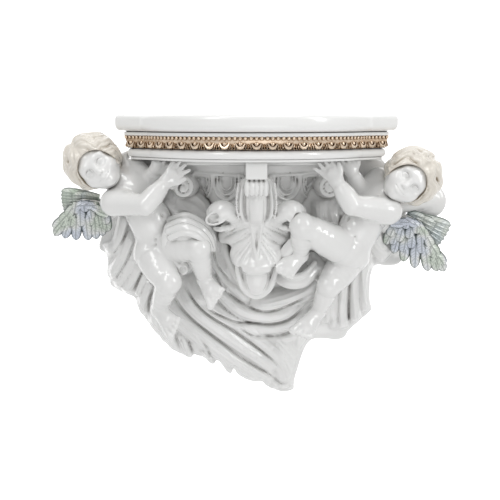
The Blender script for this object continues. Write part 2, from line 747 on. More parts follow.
# each fold: half width, height, and the x, z points that it runs through
FOLDS = [
    # the long sweeps from the left hip down to the point
    (12, 29, [(-124, -140), (-106, -176), (-88, -198), (-68, -215), (-43, -234), (-17, -253), (8, -271),
              (30, -291)]),
    (12, 28, [(-106, -142), (-90, -170), (-74, -189), (-53, -204), (-28, -218), (-3, -236), (26, -260),
              (44, -284)]),
    (20, 18, [(0, -230), (30, -252), (50, -276), (57, -300), (54, -318)]),
    (14, 21, [(-140, -172), (-122, -201), (-99, -224), (-76, -243), (-50, -263), (-26, -280), (0, -299),
              (24, -315)]),
    (9, 12, [(-96, -244), (-70, -262), (-48, -276), (-20, -294), (6, -310)]),
    (6, 10, [(-88, -152), (-76, -170), (-58, -186), (-38, -200)]),
    # slung across the middle
    (11, 29, [(-67, -132), (-55, -159), (-42, -177), (-25, -193), (-5, -201), (20, -204), (45, -198),
              (63, -184), (80, -168)]),
    (8, 20, [(-34, -210), (-5, -222), (18, -225), (41, -221), (58, -210), (76, -188)]),
    (9, 15, [(-26, -224), (8, -238), (33, -242), (56, -238), (68, -226)]),
    (14, 35, [(107, -104), (99, -140), (83, -160), (57, -173), (30, -181), (8, -184), (-12, -182)]),
    (9, 24, [(-64, -110), (-52, -135), (-37, -156), (-22, -171), (-8, -181)]),
    (9, 17, [(92, -196), (80, -212), (68, -232), (62, -262)]),
    # beside the console
    (11, 26, [(-122, -31), (-101, -35), (-83, -46), (-72, -61), (-66, -87), (-61, -114), (-48, -137),
              (-26, -163)]),
    (8, 18, [(-124, -14), (-98, -20), (-80, -33), (-73, -50)]),
    (8, 25, [(-56, -66), (-49, -98), (-41, -120), (-32, -139), (-18, -162)]),
    (9, 17, [(94, -26), (93, -60), (84, -94)]),
    (9, 18, [(112, -32), (117, -62), (112, -88)]),
    (8, 14, [(130, -38), (136, -64)]),
    # the hem below the sweeps, with its small curls
    (6, 15, [(-140, -214), (-134, -236), (-126, -264)]),
    (5, 15, [(-118, -232), (-110, -252), (-103, -274)]),
    (5, 12, [(-98, -244), (-92, -258), (-88, -272)]),
    (5, 17, [(-84, -256), (-74, -268), (-66, -284)]),
    (6, 19, [(-62, -262), (-50, -276), (-40, -299)]),
    (4, 14, [(-46, -270), (-38, -280), (-31, -298)]),
    (5, 14, [(-28, -284), (-20, -294), (-12, -311)]),
    (6, 15, [(2, -298), (12, -308), (18, -322)]),
    (8, 15, [(20, -316), (38, -326), (58, -320)]),
    # beside the console, behind the bodies
    (7, 11, [(104, -30), (116, -48), (132, -60)]),
    (7, 11, [(98, -44), (112, -62), (130, -76)]),
    (6, 10, [(96, -60), (108, -78), (122, -92)]),
    (7, 12, [(-140, -30), (-118, -50), (-96, -76)]),
    (6, 10, [(-146, -44), (-128, -66), (-110, -88)]),
    # hanging at the left
    (9, 22, [(-196, -40), (-204, -74), (-213, -98), (-232, -108)]),
    (10, 24, [(-186, -72), (-196, -102), (-210, -132), (-226, -152)]),
    (8, 19, [(-178, -96), (-190, -126), (-204, -150), (-216, -164)]),
    (8, 22, [(-174, -118), (-184, -142), (-196, -160), (-204, -170)]),
    (7, 19, [(-164, -130), (-174, -154), (-184, -176)]),
    (8, 20, [(-156, -142), (-166, -166), (-175, -190), (-170, -206)]),
    (8, 20, [(-148, -162), (-156, -190), (-155, -216), (-148, -238)]),
    (8, 17, [(-140, -200), (-140, -224), (-138, -250)]),
    # hanging at the right
    (11, 22, [(162, -96), (163, -130), (165, -165), (170, -200)]),
    (7, 15, [(149, -126), (150, -165), (152, -200), (151, -216)]),
    (8, 18, [(133, -136), (130, -175), (129, -204), (134, -226)]),
    (6, 13, [(121, -146), (119, -185), (118, -226)]),
    (8, 17, [(110, -146), (109, -185), (108, -218)]),
    (15, 26, [(174, -60), (187, -92), (206, -110)]),
    (11, 18, [(202, -50), (214, -84), (224, -112)]),
]

# sharp valleys pressed between them: half width, depth, and the points again
CREASES = [
    (1.9, 9, [(-132, -166), (-110, -197), (-84, -221), (-58, -242), (-31, -264), (-5, -282), (18, -297),
              (38, -316)]),
    (1.9, 8, [(-112, -150), (-99, -172), (-84, -191), (-62, -208), (-33, -226), (-7, -245), (22, -270),
              (40, -292)]),
    (1.9, 12, [(-84, -180), (-66, -195), (-48, -204), (-28, -212), (-5, -213), (21, -215), (46, -209),
               (66, -194), (80, -180)]),
    (1.9, 12, [(-66, -128), (-52, -157), (-35, -173), (-17, -186), (-2, -192), (20, -194), (41, -188),
               (63, -177), (88, -164)]),
    (1.9, 8, [(-26, -220), (-5, -232), (21, -235), (46, -232), (64, -219)]),
    (1.9, 8, [(-66, -96), (-60, -120), (-46, -140), (-30, -156)]),
    (1.7, 7, [(-116, -232), (-114, -250), (-107, -266)]),
    (1.7, 7, [(-90, -236), (-76, -252), (-70, -272)]),
    (1.7, 7, [(-190, -60), (-200, -86), (-222, -116)]),
    (1.7, 7, [(-184, -92), (-199, -124), (-222, -158)]),
    (1.7, 7, [(-168, -128), (-180, -152), (-190, -176)]),
    (1.7, 7, [(-152, -150), (-163, -180), (-163, -212)]),
    (1.7, 5, [(156, -120), (156, -165), (162, -204)]),
    (1.7, 5, [(142, -136), (140, -180), (143, -228)]),
    (1.7, 5, [(126, -146), (124, -185), (125, -230)]),
    (1.7, 4, [(115, -150), (113, -190), (112, -226)]),
]


def distance_to_line(x, z, line):
    """The distance of every x, z from a bent line, and how far along it the nearest point is."""
    best = np.full(np.broadcast(x, z).shape, 1e9)
    where = np.zeros_like(best)
    for k, (a, b) in enumerate(zip(line, line[1:])):
        run = b - a
        t = np.clip(((x - a[0]) * run[0] + (z - a[1]) * run[1]) / max(run @ run, 1e-9), 0, 1)
        off = np.hypot(x - a[0] - t * run[0], z - a[1] - t * run[1])
        nearer = off < best
        best = np.where(nearer, off, best)
        where = np.where(nearer, (k + t) / (len(line) - 1), where)
    return best, where


def inside_line(x, z, line):
    """True where x, z lies inside the closed line."""
    inside = np.zeros(np.broadcast(x, z).shape, bool)
    for a, b in zip(line, np.roll(line, -1, axis=0)):
        if a[1] == b[1]:
            continue
        crosses = ((a[1] > z) != (b[1] > z)) & (x < a[0] + (z - a[1]) * (b[0] - a[0]) / (b[1] - a[1]))
        inside ^= crosses
    return inside


# %% Folds and creases on a relief
def add_ridges(relief, x, z, folds, join_width=1.2, full=0.82, streak=0.0):
    """Raises each fold by a share, full, of its height, and keeps a narrow valley where two meet. streak is
    the height of fine pleats along it."""
    crest = np.zeros_like(relief)
    for half, height, route in folds:
        off, where = distance_to_line(x, z, smooth_line(route, 6 * len(route)))
        taper = np.clip(np.minimum(where, 1 - where) * 6, 0, 1) ** 0.5
        flank = np.clip(1 - (off / (half * 1.45)) ** 2, 0, 1)
        ridge = height * full * taper * flank**0.75 + streak * taper * flank * np.cos(off + 5 * where)
        near = np.maximum(join_width - np.abs(crest - ridge), 0) / join_width
        crest = np.maximum(crest, ridge) + near**2 * join_width / 4
    return crest


def add_creases(crest, x, z, creases, full=0.7):
    """Sinks each crease by a share, full, of its depth."""
    for half, sunk, route in creases:
        off, where = distance_to_line(x, z, smooth_line(route, 6 * len(route)))
        taper = np.clip(np.minimum(where, 1 - where) * 5, 0, 1) ** 0.5
        crest -= full * sunk * taper * np.exp(-((off / half) ** 2))


def relief_field(clay, height, to_edge, round_over, steep=0.75):
    """The block's distance to a relief that stands out of the wall, rounded over along its outline."""
    y = clay.lines[1][None, :, None]
    front = (-y - height[:, None, :]) * steep
    rim = to_edge[:, None, :] + 0 * y
    corner = np.hypot(np.maximum(front + round_over, 0), np.maximum(rim + round_over, 0))
    rounded = corner + np.minimum(np.maximum(front, rim) + round_over, 0) - round_over
    return np.maximum(rounded, y).astype(np.float32)


def edge_distance(x, z, line):
    """The distance from a closed line, below nought inside it."""
    off, _ = distance_to_line(x, z, np.vstack([line, line[:1]]))
    return np.where(inside_line(x, z, line), -off, off)


# %% Raise the cloth
CLOTH_GRAIN = 1.9
EDGE_DEPTH = 13  # at the hem
SWELL = 44  # more than that in the middle
SWELL_HALF, SWELL_RISE, SWELL_MIDDLE = 250, 258, -70
FILL, FILL_X, FILL_Z, FILL_HALF, FILL_RISE = 26, 112, -62, 38, 42  # the mounds behind the two bodies
ROUND_OVER = 4

cloth_clay = Clay((-252, -96, -336), (246, 4, 44), CLOTH_GRAIN)
x, z = cloth_clay.lines[0][:, None], cloth_clay.lines[2][None, :]
dome = 1 - (x / SWELL_HALF) ** 2 - ((z - SWELL_MIDDLE) / SWELL_RISE) ** 2
relief = EDGE_DEPTH + SWELL * np.sqrt(np.clip(dome, 0, 1))
for mound in (-FILL_X, FILL_X):
    relief = relief + FILL * np.exp(-(((x - mound) / FILL_HALF) ** 2) - ((z - FILL_Z) / FILL_RISE) ** 2)
crest = add_ridges(relief, x, z, FOLDS, streak=0.9)
add_creases(crest, x, z, CREASES)
to_edge = edge_distance(x, z, smooth_line(CLOTH_EDGE, 3 * len(CLOTH_EDGE)))
height = relief + crest * np.clip(-to_edge / 8, 0.7, 1)
cloth_clay.depth = relief_field(cloth_clay, height, to_edge, ROUND_OVER)
cloth = cloth_clay.skin("cloth")
polish(cloth, 1)
flatten_back(cloth)
finish_piece(cloth, glaze, "white_glaze")

# %% Cloth wrapped over the left child's thigh, and slung under the right one's seat
wrap_clay = Clay((-146, -162, -150), (-48, -40, -20), 1.25)
wrap_clay.press([ball((-98, -112, -70), (30, 24, 20))])
OVER_THIGH = [
    [(-128, -104, -54, 7), (-104, -112, -46, 7.5), (-82, -114, -55, 7.5), (-67, -108, -71, 7),
     (-61, -94, -94, 6)],
    [(-127, -116, -60, 7), (-104, -124, -53, 8), (-83, -127, -61, 8), (-69, -121, -75, 7),
     (-63, -106, -95, 6)],
    [(-126, -126, -67, 7), (-105, -134, -60, 7.5), (-86, -138, -66, 7.5), (-73, -132, -77, 6),
     (-66, -118, -94, 5)],
    [(-124, -132, -76, 5.5), (-106, -140, -68, 6), (-89, -145, -70, 6), (-77, -140, -79, 4.5),
     (-70, -128, -92, 4)],
    [(-128, -120, -62, 7), (-132, -118, -80, 7.5), (-131, -112, -102, 7.5), (-124, -108, -122, 6),
     (-114, -104, -132, 6)],
    [(-119, -124, -74, 6), (-122, -118, -92, 6.5), (-119, -112, -112, 6.5), (-110, -106, -128, 5)],
    [(-110, -118, -84, 5.5), (-111, -112, -104, 6), (-105, -106, -120, 5)],
]
for fold in OVER_THIGH:
    wrap_clay.press(rope([(x, y + 1.5, z, r * 0.82) for x, y, z, r in fold], fine=6), 2.4)
wrap_clay.press([ball((-108, -104, -124), (10, 10, 10))], 2)
wrap_clay.press([ball((-107, -113, -125), (5.5, 6, 5.5))], 1.5, cut=True)
thigh_cloth = wrap_clay.skin("thigh_cloth")

seat_clay = Clay((10, -132, -172), (184, -30, -76), 1.3)
UNDER_SEAT = [
    [(84, -64, -116, 12), (100, -74, -134, 14), (117, -78, -140, 15), (136, -74, -127, 14),
     (156, -62, -104, 12)],
    [(80, -80, -130, 3), (91, -84, -144, 3), (103, -86, -152, 3), (117, -86, -155, 3), (130, -84, -148, 3),
     (150, -76, -126, 3)],
    [(26, -84, -136, 9), (48, -92, -146, 10), (70, -90, -144, 10), (88, -80, -128, 9)],
    [(30, -90, -128, 4), (50, -100, -136, 5), (70, -98, -133, 5), (86, -88, -118, 4)],
]
for fold in UNDER_SEAT:
    seat_clay.press(rope(fold, fine=6), 3)
seat_clay.press(rope([(52, -120, -86, 9), (36, -116, -107, 9), (19, -106, -131, 8)], (0.2, 1, 0.1), 0.3), 1)
seat_cloth = seat_clay.skin("seat_cloth")
for piece in (thigh_cloth, seat_cloth):
    polish(piece, 2)
    finish_piece(piece, glaze, "white_glaze")

# %% [markdown]
# ## The console
# Between the figures stands a leafy console: an abacus under the board, a fluted bell, a scrolled strap down
# the middle, and a big acanthus leaf with a bulb and a tongue under it. At the corners volutes curl like
# ram's horns, and two shell-like leaf ends roll over below the flutes. All of it is pressed from balls and
# ropes on the bell, and each rope lies on the bell's own surface.

# %% The bell
# height, half width and how far out it stands, from the top down
BELL = [
    (40, 114, 104), (10, 114, 100), (6, 96, 96), (-30, 74, 104), (-62, 54, 118), (-108, 38, 116),
    (-150, 26, 96), (-172, 15, 70),
]
BELL_DROP, BELL_HALF, BELL_REACH = np.array(BELL, float)[::-1].T
BELL_ROUND = 45  # its usual radius, which turns a share of it into a distance


def bell_front(x, z):
    """How far out the bell's front stands, as a y."""
    half, reach = np.interp(z, BELL_DROP, BELL_HALF), np.interp(z, BELL_DROP, BELL_REACH)
    share = np.minimum(0.98, np.abs(x) / half)
    return -reach * (1 - share**2) ** 0.25


def bell():
    """The bell as a shape, squarish in plan and flat at the wall."""

    def distance(x, y, z):
        half, reach = np.interp(z, BELL_DROP, BELL_HALF), np.interp(z, BELL_DROP, BELL_REACH)
        round_way = np.sqrt((x / half) ** 2 + (y / reach) ** 4) - 1
        ends = np.maximum(z - BELL_DROP[-1], BELL_DROP[0] - z)
        return np.maximum(np.maximum(round_way * BELL_ROUND, y - 2), ends)

    return np.array([-115, -120, -173]), np.array([115, 2, 40]), distance


def brick(low, high, edge=1.0):
    """A block between two corners, with its edges rounded."""
    low, high = np.array(low, float), np.array(high, float)
    middle, half = (low + high) / 2, (high - low) / 2 - edge

    def distance(x, y, z):
        over = [np.abs(v - m) - h for v, m, h in zip((x, y, z), middle, half)]
        outside = np.sqrt(sum(np.maximum(d, 0) ** 2 for d in over))
        return outside + np.minimum(np.maximum(np.maximum(over[0], over[1]), over[2]), 0) - edge

    return low, high, distance


def on_side(side, places):
    """Places drawn for the right side, at the left for -1 or at the right for 1."""
    return [(side * x, *rest) for x, *rest in places]


def on_bell(side, points, lift=0.0):
    """Stations (x, z, radius) laid on the bell's front."""
    return [(side * x, bell_front(x, z) - lift, z, radius) for x, z, radius in points]


CONSOLE_BACK = -4 * MM  # inside the cloth, whose own back lies on the wall

console_clay = Clay((-130, -192, -184), (130, 4, 36), 1.5)
console_clay.press([bell()])
print("bell pressed")

# %% Abacus, middle block, roll and strap
console_clay.press([brick((-118, -112, 27), (118, 0, 36), 1.5)], 1)
console_clay.press([brick((-15, -186, 11), (15, -60, 36), 1.2)], 2)
console_clay.press([ball((x, -172, -1), (4.8, 12.5, 13)) for x in (-13, -6.5, 0, 6.5, 13)], 1.2)

# %% Strap and leaf: half an outline, and the ridges and veins on it
LEAF_EDGE = [
    (15, 12), (22, 8), (26, -6), (28, -24), (27, -40), (24, -50), (32, -54), (44, -60), (53, -68),
    (57, -78), (54, -87), (45, -87), (37, -91), (39, -101), (36, -112), (29, -119), (23, -118), (20, -126),
    (12, -131),
]
# height, and how far out the middle stands
LEAF_SPINE = [
    (12, 158), (0, 161), (-20, 158), (-40, 149), (-56, 136), (-70, 130), (-90, 131), (-106, 137),
    (-116, 142), (-124, 141), (-131, 128),
]
LEAF_RIDGES = [
    (9.5, 6, [(0, 6), (0, -20), (0, -40), (0, -58)]),
    (4, 9, [(20, 8), (22, -8), (24, -26), (23, -42), (17, -56)]),
    (2.2, 5, [(8.5, -54), (6, -72), (3, -92), (0.5, -108)]),
    (5.5, 4, [(8, -52), (22, -58), (36, -64), (52, -74)]),
    (5.5, 4, [(7, -60), (20, -69), (34, -78), (50, -85)]),
    (4.5, 3.5, [(6, -70), (14, -80), (24, -87), (34, -90)]),
    (5, 4, [(5, -74), (14, -88), (24, -100), (32, -114)]),
    (4, 3, [(4, -84), (10, -95), (17, -105), (25, -117)]),
]
LEAF_CREASES = [
    (0.9, 3, [(12, -56), (26, -61), (44, -70)]),
    (0.9, 3, [(8, -64), (20, -73), (34, -82), (44, -86)]),
    (0.9, 3, [(6, -74), (14, -85), (22, -95), (30, -104)]),
    (0.9, 3, [(4, -88), (10, -99), (17, -111)]),
    (1.3, 6, [(11.5, -16), (11.5, -26), (11, -40), (10.5, -58)]),
    (3.0, 8, [(16, 2), (17, -20), (16.5, -38), (13, -52)]),
    (1.1, 4, [(9, -58), (22, -65), (36, -72), (50, -80)]),
    (1.1, 4, [(6, -67), (18, -78), (32, -86), (40, -89)]),
    (1.1, 4, [(5, -79), (14, -93), (22, -104), (28, -114)]),
    (1.0, 3, [(3, -92), (8, -100), (13, -108)]),
    (1.2, 3, [(0, -60), (0, -78), (0, -96)]),
]
LEAF_BLEND = 2


def both_sides(lines):
    """The lines and their mirror images, apart from those down the middle."""
    return lines + [(half, up, [(-px, pz) for px, pz in route]) for half, up,
                    route in lines if route[1][0] > 0]


x, z = console_clay.lines[0][:, None], console_clay.lines[2][None, :]
spine = np.interp(z, *np.array(LEAF_SPINE, float)[::-1].T)
across = np.abs(x) / 60
relief = spine * (1 - 0.27 * across**1.6) + 0 * x
crest = add_ridges(relief, x, z, both_sides(LEAF_RIDGES), 0.8, 1.0)
add_creases(crest, x, z, both_sides(LEAF_CREASES))
half_line = smooth_line(LEAF_EDGE, 4 * len(LEAF_EDGE))
outline = np.vstack([half_line, (half_line * (-1, 1))[::-1]])
to_edge = edge_distance(x, z, outline)
smooth_bulb = np.exp(-(((z + 118) / 9) ** 2) - (x / 17) ** 2)
height = relief + crest * (1 - smooth_bulb) * np.clip(-to_edge / 4, 0.3, 1) + 3 * smooth_bulb
leaf_field = relief_field(console_clay, height, to_edge, 4)
near = np.maximum(LEAF_BLEND - np.abs(console_clay.depth - leaf_field), 0) / LEAF_BLEND
console_clay.depth = np.minimum(console_clay.depth, leaf_field) - near**2 * LEAF_BLEND / 4
print("leaf raised by up to", round(float(height.max())), "mm")

# %% The strap's ruffled edge and the tongue
RUFFLE = [(25, -160, 4), (27.5, -160, -12), (28, -153, -30), (25.5, -143, -46)]
TONGUE = [(0, -117, -122, 17), (0, -117, -138, 15.5), (0, -110, -152, 11.5)]
TONGUE_RIM = [(29, -113, -116, 3.2), (26, -113, -134, 4.2), (18, -109, -154, 4.8)]  # half of it
TONGUE_TIP = (0, -105, -165, 5.2)
TONGUE_BACK = [(0, -106, -120, 24), (0, -104, -142, 20), (0, -99, -156, 10)]
TO_THE_FRONT = (0, 1, 0)

for side in (-1, 1):
    console_clay.press([ball(p, 2.1) for p in smooth_line(on_side(side, RUFFLE), 15)], 1.6)
tongue_rim = [*on_side(-1, TONGUE_RIM), TONGUE_TIP, *TONGUE_RIM[::-1]]
console_clay.press(rope(TONGUE, TO_THE_FRONT, 0.5), 1.2)
console_clay.press(rope(tongue_rim, TO_THE_FRONT, 0.6, fine=6), 2)
console_clay.press(rope(TONGUE_BACK, TO_THE_FRONT, 0.5), 3)

# %% Flutes, corner volutes and rolled leaf ends
FLUTES = [(44, 18.5), (79, 13.5)]  # middle and half width
FLUTE_RIMS = [(1.0, 2.5, 1.4), (0.7, 1.7, 0.2), (0.42, 1.4, -0.8)]  # size, radius and lift of each nested rim
LEDGE = [(20, 11.5, 2.2), (44, 12.5, 2.2), (68, 14, 2.2), (92, 16, 2)]
VOLUTE_X, VOLUTE_Z, VOLUTE_REACH, VOLUTE_TURNS = 107, -5, 16, 3.7 * math.pi
SHELL = [(24, -108, -58, 10), (33, -128, -44, 12), (46, -134, -36, 15), (58, -124, -40, 14),
         (64, -104, -52, 9)]
SHELL_CURL = [(60, -134, -36, 3), (52, -144, -38, 4.2), (50, -143, -46, 3.6), (56, -138, -50, 2.4)]
MOUTH_X, MOUTH_Z, MOUTH_HALF, MOUTH_RISE = 56, -45, 16.5, 9


def press_flutes(side):
    """Two hollows in the bell, each with three nested rims, under a thin ledge."""
    for x, half in FLUTES:
        u = [(-half, 13), (-half, -4), (-half * 0.66, -18), (0, -24), (half * 0.66, -18), (half, -4),
             (half, 13)]
        hollow = (side * x, bell_front(x, -2) - 1, -1)
        console_clay.press([ball(hollow, (half * 0.84, 5, 19))], 1.5, cut=True)
        for share, radius, lift in FLUTE_RIMS:
            nested = on_bell(side, [(x + dx * share, max(z, z * share), radius) for dx, z in u], lift)
            console_clay.press(rope(nested), 1.0)
    console_clay.press(rope(on_bell(side, LEDGE, 1.2)), 1.2)


def press_volute(side):
    """A ram's-horn scroll that winds inwards as it comes forward, on a round corner."""
    console_clay.press([ball((side * 106, -60, -4), (22, 44, 20))], 3)
    spiral = []
    for turn in np.linspace(0, VOLUTE_TURNS, 34):
        reach = VOLUTE_REACH - 1.02 * turn
        x, z = VOLUTE_X + reach * math.cos(turn), VOLUTE_Z + reach * math.sin(turn)
        spiral.append((x, -103 - turn * 0.45, z, 3.9 - turn * 0.12))
    console_clay.press(rope(on_side(side, spiral), fine=2), 0.8)
    console_clay.press([ball((side * VOLUTE_X, -107, VOLUTE_Z), 4.2)], 1)


def press_leaf_end(side):
    """A leaf end rolled over like a shell, with a lipped mouth, a curl in it and three folds below."""
    console_clay.press(rope(on_side(side, SHELL)), 4)
    console_clay.press([ball((side * 60, -146, -47), (12.5, 14, 7.5), turned(side * -0.4))], 2, cut=True)
    mouth = []
    for t in np.linspace(0, 2 * math.pi, 17):
        dx, dz = MOUTH_HALF * math.cos(t), MOUTH_RISE * math.sin(t)
        dx, dz = dx * 0.92 - dz * 0.39, dx * 0.39 + dz * 0.92
        mouth.append((MOUTH_X - dx, -142 - 0.14 * dx, MOUTH_Z + dz, 1.8))
    console_clay.press(rope(on_side(side, mouth), fine=2), 1.2)
    console_clay.press(rope(on_side(side, SHELL_CURL)), 1.2)
    for k in range(3):
        root = (28 + 9 * k, -114 - 3 * k, -58, 3)
        crest_of_fold = (35 + 8 * k, -127, -60 - 2 * k, 4)
        end = (44 + 8 * k, -117, -68 + 2 * k, 3)
        console_clay.press(rope(on_side(side, [root, crest_of_fold, end])), 1.5)


for side in (-1, 1):
    press_flutes(side)
    press_volute(side)
    press_leaf_end(side)
console = console_clay.skin("console")
polish(console, 2)
flatten_back(console, CONSOLE_BACK)
finish_piece(console, glaze, "white_glaze")

# %% [markdown]
# ## The two children
# Each body is built on its joints, whose places were found together with the solid. Between the joints go
# ropes as thick as a plump child's limbs, then come the soft forms over them: belly, knees, heels, the pads
# of hands and feet. Shallow rings are pressed round the wrists, knees and ankles. The joints are soft,
# because wet clay and thick glaze leave no sharp corner. Last, the room that the board takes is cut away,
# with a hair's gap.

# %% Where their joints are, in mm
LEFT = dict(
    head=(-234, -95, 28), neck=(-204, -80, 2), chest=(-182, -78, -14), belly=(-158, -86, -56),
    hips=(-149, -74, -93), wing_root=(-218, -64, -42),
    near_shoulder=(-207, -106, -27), near_elbow=(-158, -136, -28), near_wrist=(-130, -132, 4),
    near_tips=(-106, -126, 31), far_shoulder=(-190, -60, 28), far_elbow=(-157, -74, 4),
    far_wrist=(-147, -92, 20), far_tips=(-138, -100, 34),
    hip_a=(-156, -86, -104), knee_a=(-128, -118, -142), ankle_a=(-146, -88, -188), toes_a=(-122, -112, -209),
    hip_b=(-138, -84, -90), knee_b=(-84, -128, -92), ankle_b=(-76, -104, -141), toes_b=(-60, -122, -162),
)
RIGHT = dict(
    head=(223, -95, 7), neck=(192, -80, -18), chest=(174, -78, -34), belly=(154, -88, -66),
    hips=(138, -82, -95), wing_root=(197, -62, -66),
    near_shoulder=(192, -106, -39), near_elbow=(136, -138, -28), near_wrist=(115, -132, 4),
    near_tips=(95, -126, 31), far_shoulder=(182, -60, 4), far_elbow=(154, -74, -12),
    far_wrist=(139, -92, 16), far_tips=(129, -100, 34),
    hip_a=(133, -98, -97), knee_a=(66, -136, -58), ankle_a=(64, -110, -104), toes_a=(40, -124, -124),
    hip_b=(134, -76, -118), knee_b=(107, -98, -150), ankle_b=(93, -80, -192), toes_b=(68, -100, -219),
)
print("the left child is", round(math.dist(LEFT["head"], LEFT["hips"])), "mm from hips to head")


def along(a, b, share):
    """The place at a share of the way from a to b."""
    return np.array(a) + (np.array(b) - np.array(a)) * share


def station(place, radius):
    """A place with a radius, for a rope to run through."""
    return (*place, radius)


# %% Hands and feet
FOOT_TOES = [(-13, 6.4), (-4.4, 4.6), (2.8, 4.3), (9.2, 4.0), (14.8, 3.6)]  # place across the foot, and size


def press_hand(clay, wrist, tips, plump=1.0):
    """A flat palm, four fingers that fan out from it, and a thumb."""
    wrist, tips = np.array(wrist, float), np.array(tips, float)
    way = unit(tips - wrist)
    across = unit(np.cross(way, (0, 1, 0)))
    thin = np.cross(way, across)
    palm = [(0, 9), (0.2, 10.5), (0.4, 9.5)]
    clay.press(rope([station(along(wrist, tips, share), r * plump) for share, r in palm], thin, 0.58), 5)
    for finger in range(4):
        fan = finger - 1.5
        knuckle = along(wrist, tips, 0.4) + across * fan * 5.0
        middle = along(wrist, tips, 0.76) + across * fan * 7.2 - thin * 2.5
        tip = along(wrist, tips, 1.1 - 0.07 * abs(fan - 0.4)) + across * fan * 9.4
        clay.press(rope([station(knuckle, 4.0), station(middle, 3.6), station(tip, 2.9)], fine=3), 0.9)
    thumb = [(0.08, 6, 5), (0.34, 14, 4.3), (0.62, 18, 3.2)]
    thumb = [station(along(wrist, tips, share) - across * out, r) for share, out, r in thumb]
    clay.press(rope(thumb, fine=2), 2.5)


def press_foot(clay, ankle, toes):
    """A heel, a broad sole and five toes."""
    ankle, toes = np.array(ankle, float), np.array(toes, float)
    way = unit(toes - ankle)
    across = unit(np.cross(way, (0, 1, 0)))
    thin = np.cross(way, across)
    if thin[1] > 0:
        thin = -thin
    heel = ankle - way * 7 - thin * 5
    clay.press([ball(heel, 10.5)], 6)
    length = np.linalg.norm(toes - ankle)
    sole = [(0, 10.5), (0.4, 13), (0.66, 14.5)]
    clay.press(rope([station(ankle + way * length * share, r) for share, r in sole], thin, 0.72), 5)
    for toe, (fan, size) in enumerate(FOOT_TOES):
        root = ankle + way * (length * 0.7) + across * fan * 0.8
        tip = ankle + way * (length + 9 - 2.4 * toe) + across * fan + thin * 1.5
        middle = along(root, tip, 0.55) + thin * 1.5
        stations = [station(root, size * 0.8), station(middle, size * 0.72), station(tip, size)]
        clay.press(rope(stations, fine=2), 0.9)


def press_crease(clay, a, b, share, girth, deep=1.0, blend=3.0):
    """A ring pressed round a limb or the trunk, as in a child's plump wrists and knees."""
    middle, way = along(a, b, share), unit(b - a)
    one = unit(np.cross(way, (0.1, 1, 0.2)))
    two = np.cross(way, one)
    ring = []
    for t in np.linspace(0, 2 * math.pi, 17):
        out = math.cos(t) * one + math.sin(t) * two
        ring.append(station(middle + (girth + 1) * out, deep))
    clay.press(rope(ring, fine=1), blend, cut=True)


# %% A child's body
def press_limb(clay, start, end, radii, blend, swell=0.5):
    """A rope between two joints. The middle radius stands at the share swell of the way."""
    places = start, along(start, end, swell), end
    clay.press(rope([station(place, radius) for place, radius in zip(places, radii)]), blend)


def press_trunk(clay, p, side, front, up):
    turn = np.array([side, front, up])
    spine = [("neck", 19), ("chest", 28), ("belly", 29), ("hips", 28)]
    clay.press(rope([station(p[name], radius) for name, radius in spine]))
    clay.press([ball(p["chest"], (31, 25, 30), turn)], 10)
    clay.press([ball(p["belly"] + front * 5, (28, 27, 30), turn)], 10)
    clay.press([ball(p["hips"], (31, 27, 25), turn)], 10)
    for way in (-1, 1):
        clay.press([ball(p["chest"] + front * 14 + side * way * 13 + up * 2, 14)], 9)
        clay.press([ball(p["hips"] - front * 11 + side * way * 13 - up * 6, 19)], 8)
    throat = along(p["head"], p["neck"], 0.3)
    clay.press(rope([station(throat, 17), station(p["neck"], 18), station(p["chest"], 22)]), 8)
    shoulders = [(p["near_shoulder"], 18), (p["chest"] + up * 8, 20), (p["far_shoulder"], 17)]
    clay.press(rope([station(place, radius) for place, radius in shoulders]), 10)


def press_arms(clay, near, far):
    press_limb(clay, near[0], near[1], (19.5, 17.5, 14.5), 7)
    press_limb(clay, near[1], near[2], (14.5, 15, 9.6), 4, 0.4)
    press_limb(clay, far[0], far[1], (17, 15.5, 13.5), 6)
    press_limb(clay, far[1], far[2], (13.5, 13.5, 9.6), 4, 0.4)


def press_leg(clay, hip, knee, ankle, toes, plump):
    press_limb(clay, hip, knee, (27 * plump, 25 * plump, 18 * plump), 6)
    press_limb(clay, knee, ankle, (17.5 * plump, 16.5 * plump, 10.5), 4, 0.4)
    cap = unit(knee - along(hip, ankle, 0.5))
    clay.press([ball(knee + cap * 5, 15 * plump)], 7)
    clay.press([ball(knee + (0, -6, 1), 13 * plump)], 7)
    press_crease(clay, hip, knee, 0.12, 27 * plump, 0.8, 4)
    press_crease(clay, knee, ankle, 0.28, 17.5 * plump)
    press_crease(clay, knee, ankle, 0.92, 11.5, 1.4)
    press_foot(clay, ankle, toes)


def press_child(clay, pose):
    """The trunk, the arms with their hands, the legs with their feet, and the navel."""
    p = {name: np.array(place, float) for name, place in pose.items()}
    up = unit(p["neck"] - p["hips"])
    side = p["far_shoulder"] - p["near_shoulder"]
    side = unit(side - up * (side @ up))
    front = np.cross(up, side)
    if front[1] > 0:
        front = -front
    near = p["near_shoulder"], p["near_elbow"], p["near_wrist"]
    far = p["far_shoulder"], p["far_elbow"], p["far_wrist"]
    press_trunk(clay, p, side, front, up)
    press_arms(clay, near, far)
    press_crease(clay, p["chest"], p["belly"], 0.6, 29.5, 0.8, 4)
    for _, elbow, wrist in (near, far):
        press_crease(clay, elbow, wrist, 0.92, 10.2, 1.4)
    clay.press([ball(p["belly"] + front * 32, 2.8)], 3, cut=True)
    press_hand(clay, p["near_wrist"], p["near_tips"])
    press_hand(clay, p["far_wrist"], p["far_tips"], 0.95)
    for leg, plump in (("b", 0.95), ("a", 1.0)):
        press_leg(clay, *(p[joint + leg] for joint in ("hip_", "knee_", "ankle_", "toes_")), plump)
    clay.press([ball(p["belly"] + front * 31, 2.6)], 2.5, cut=True)


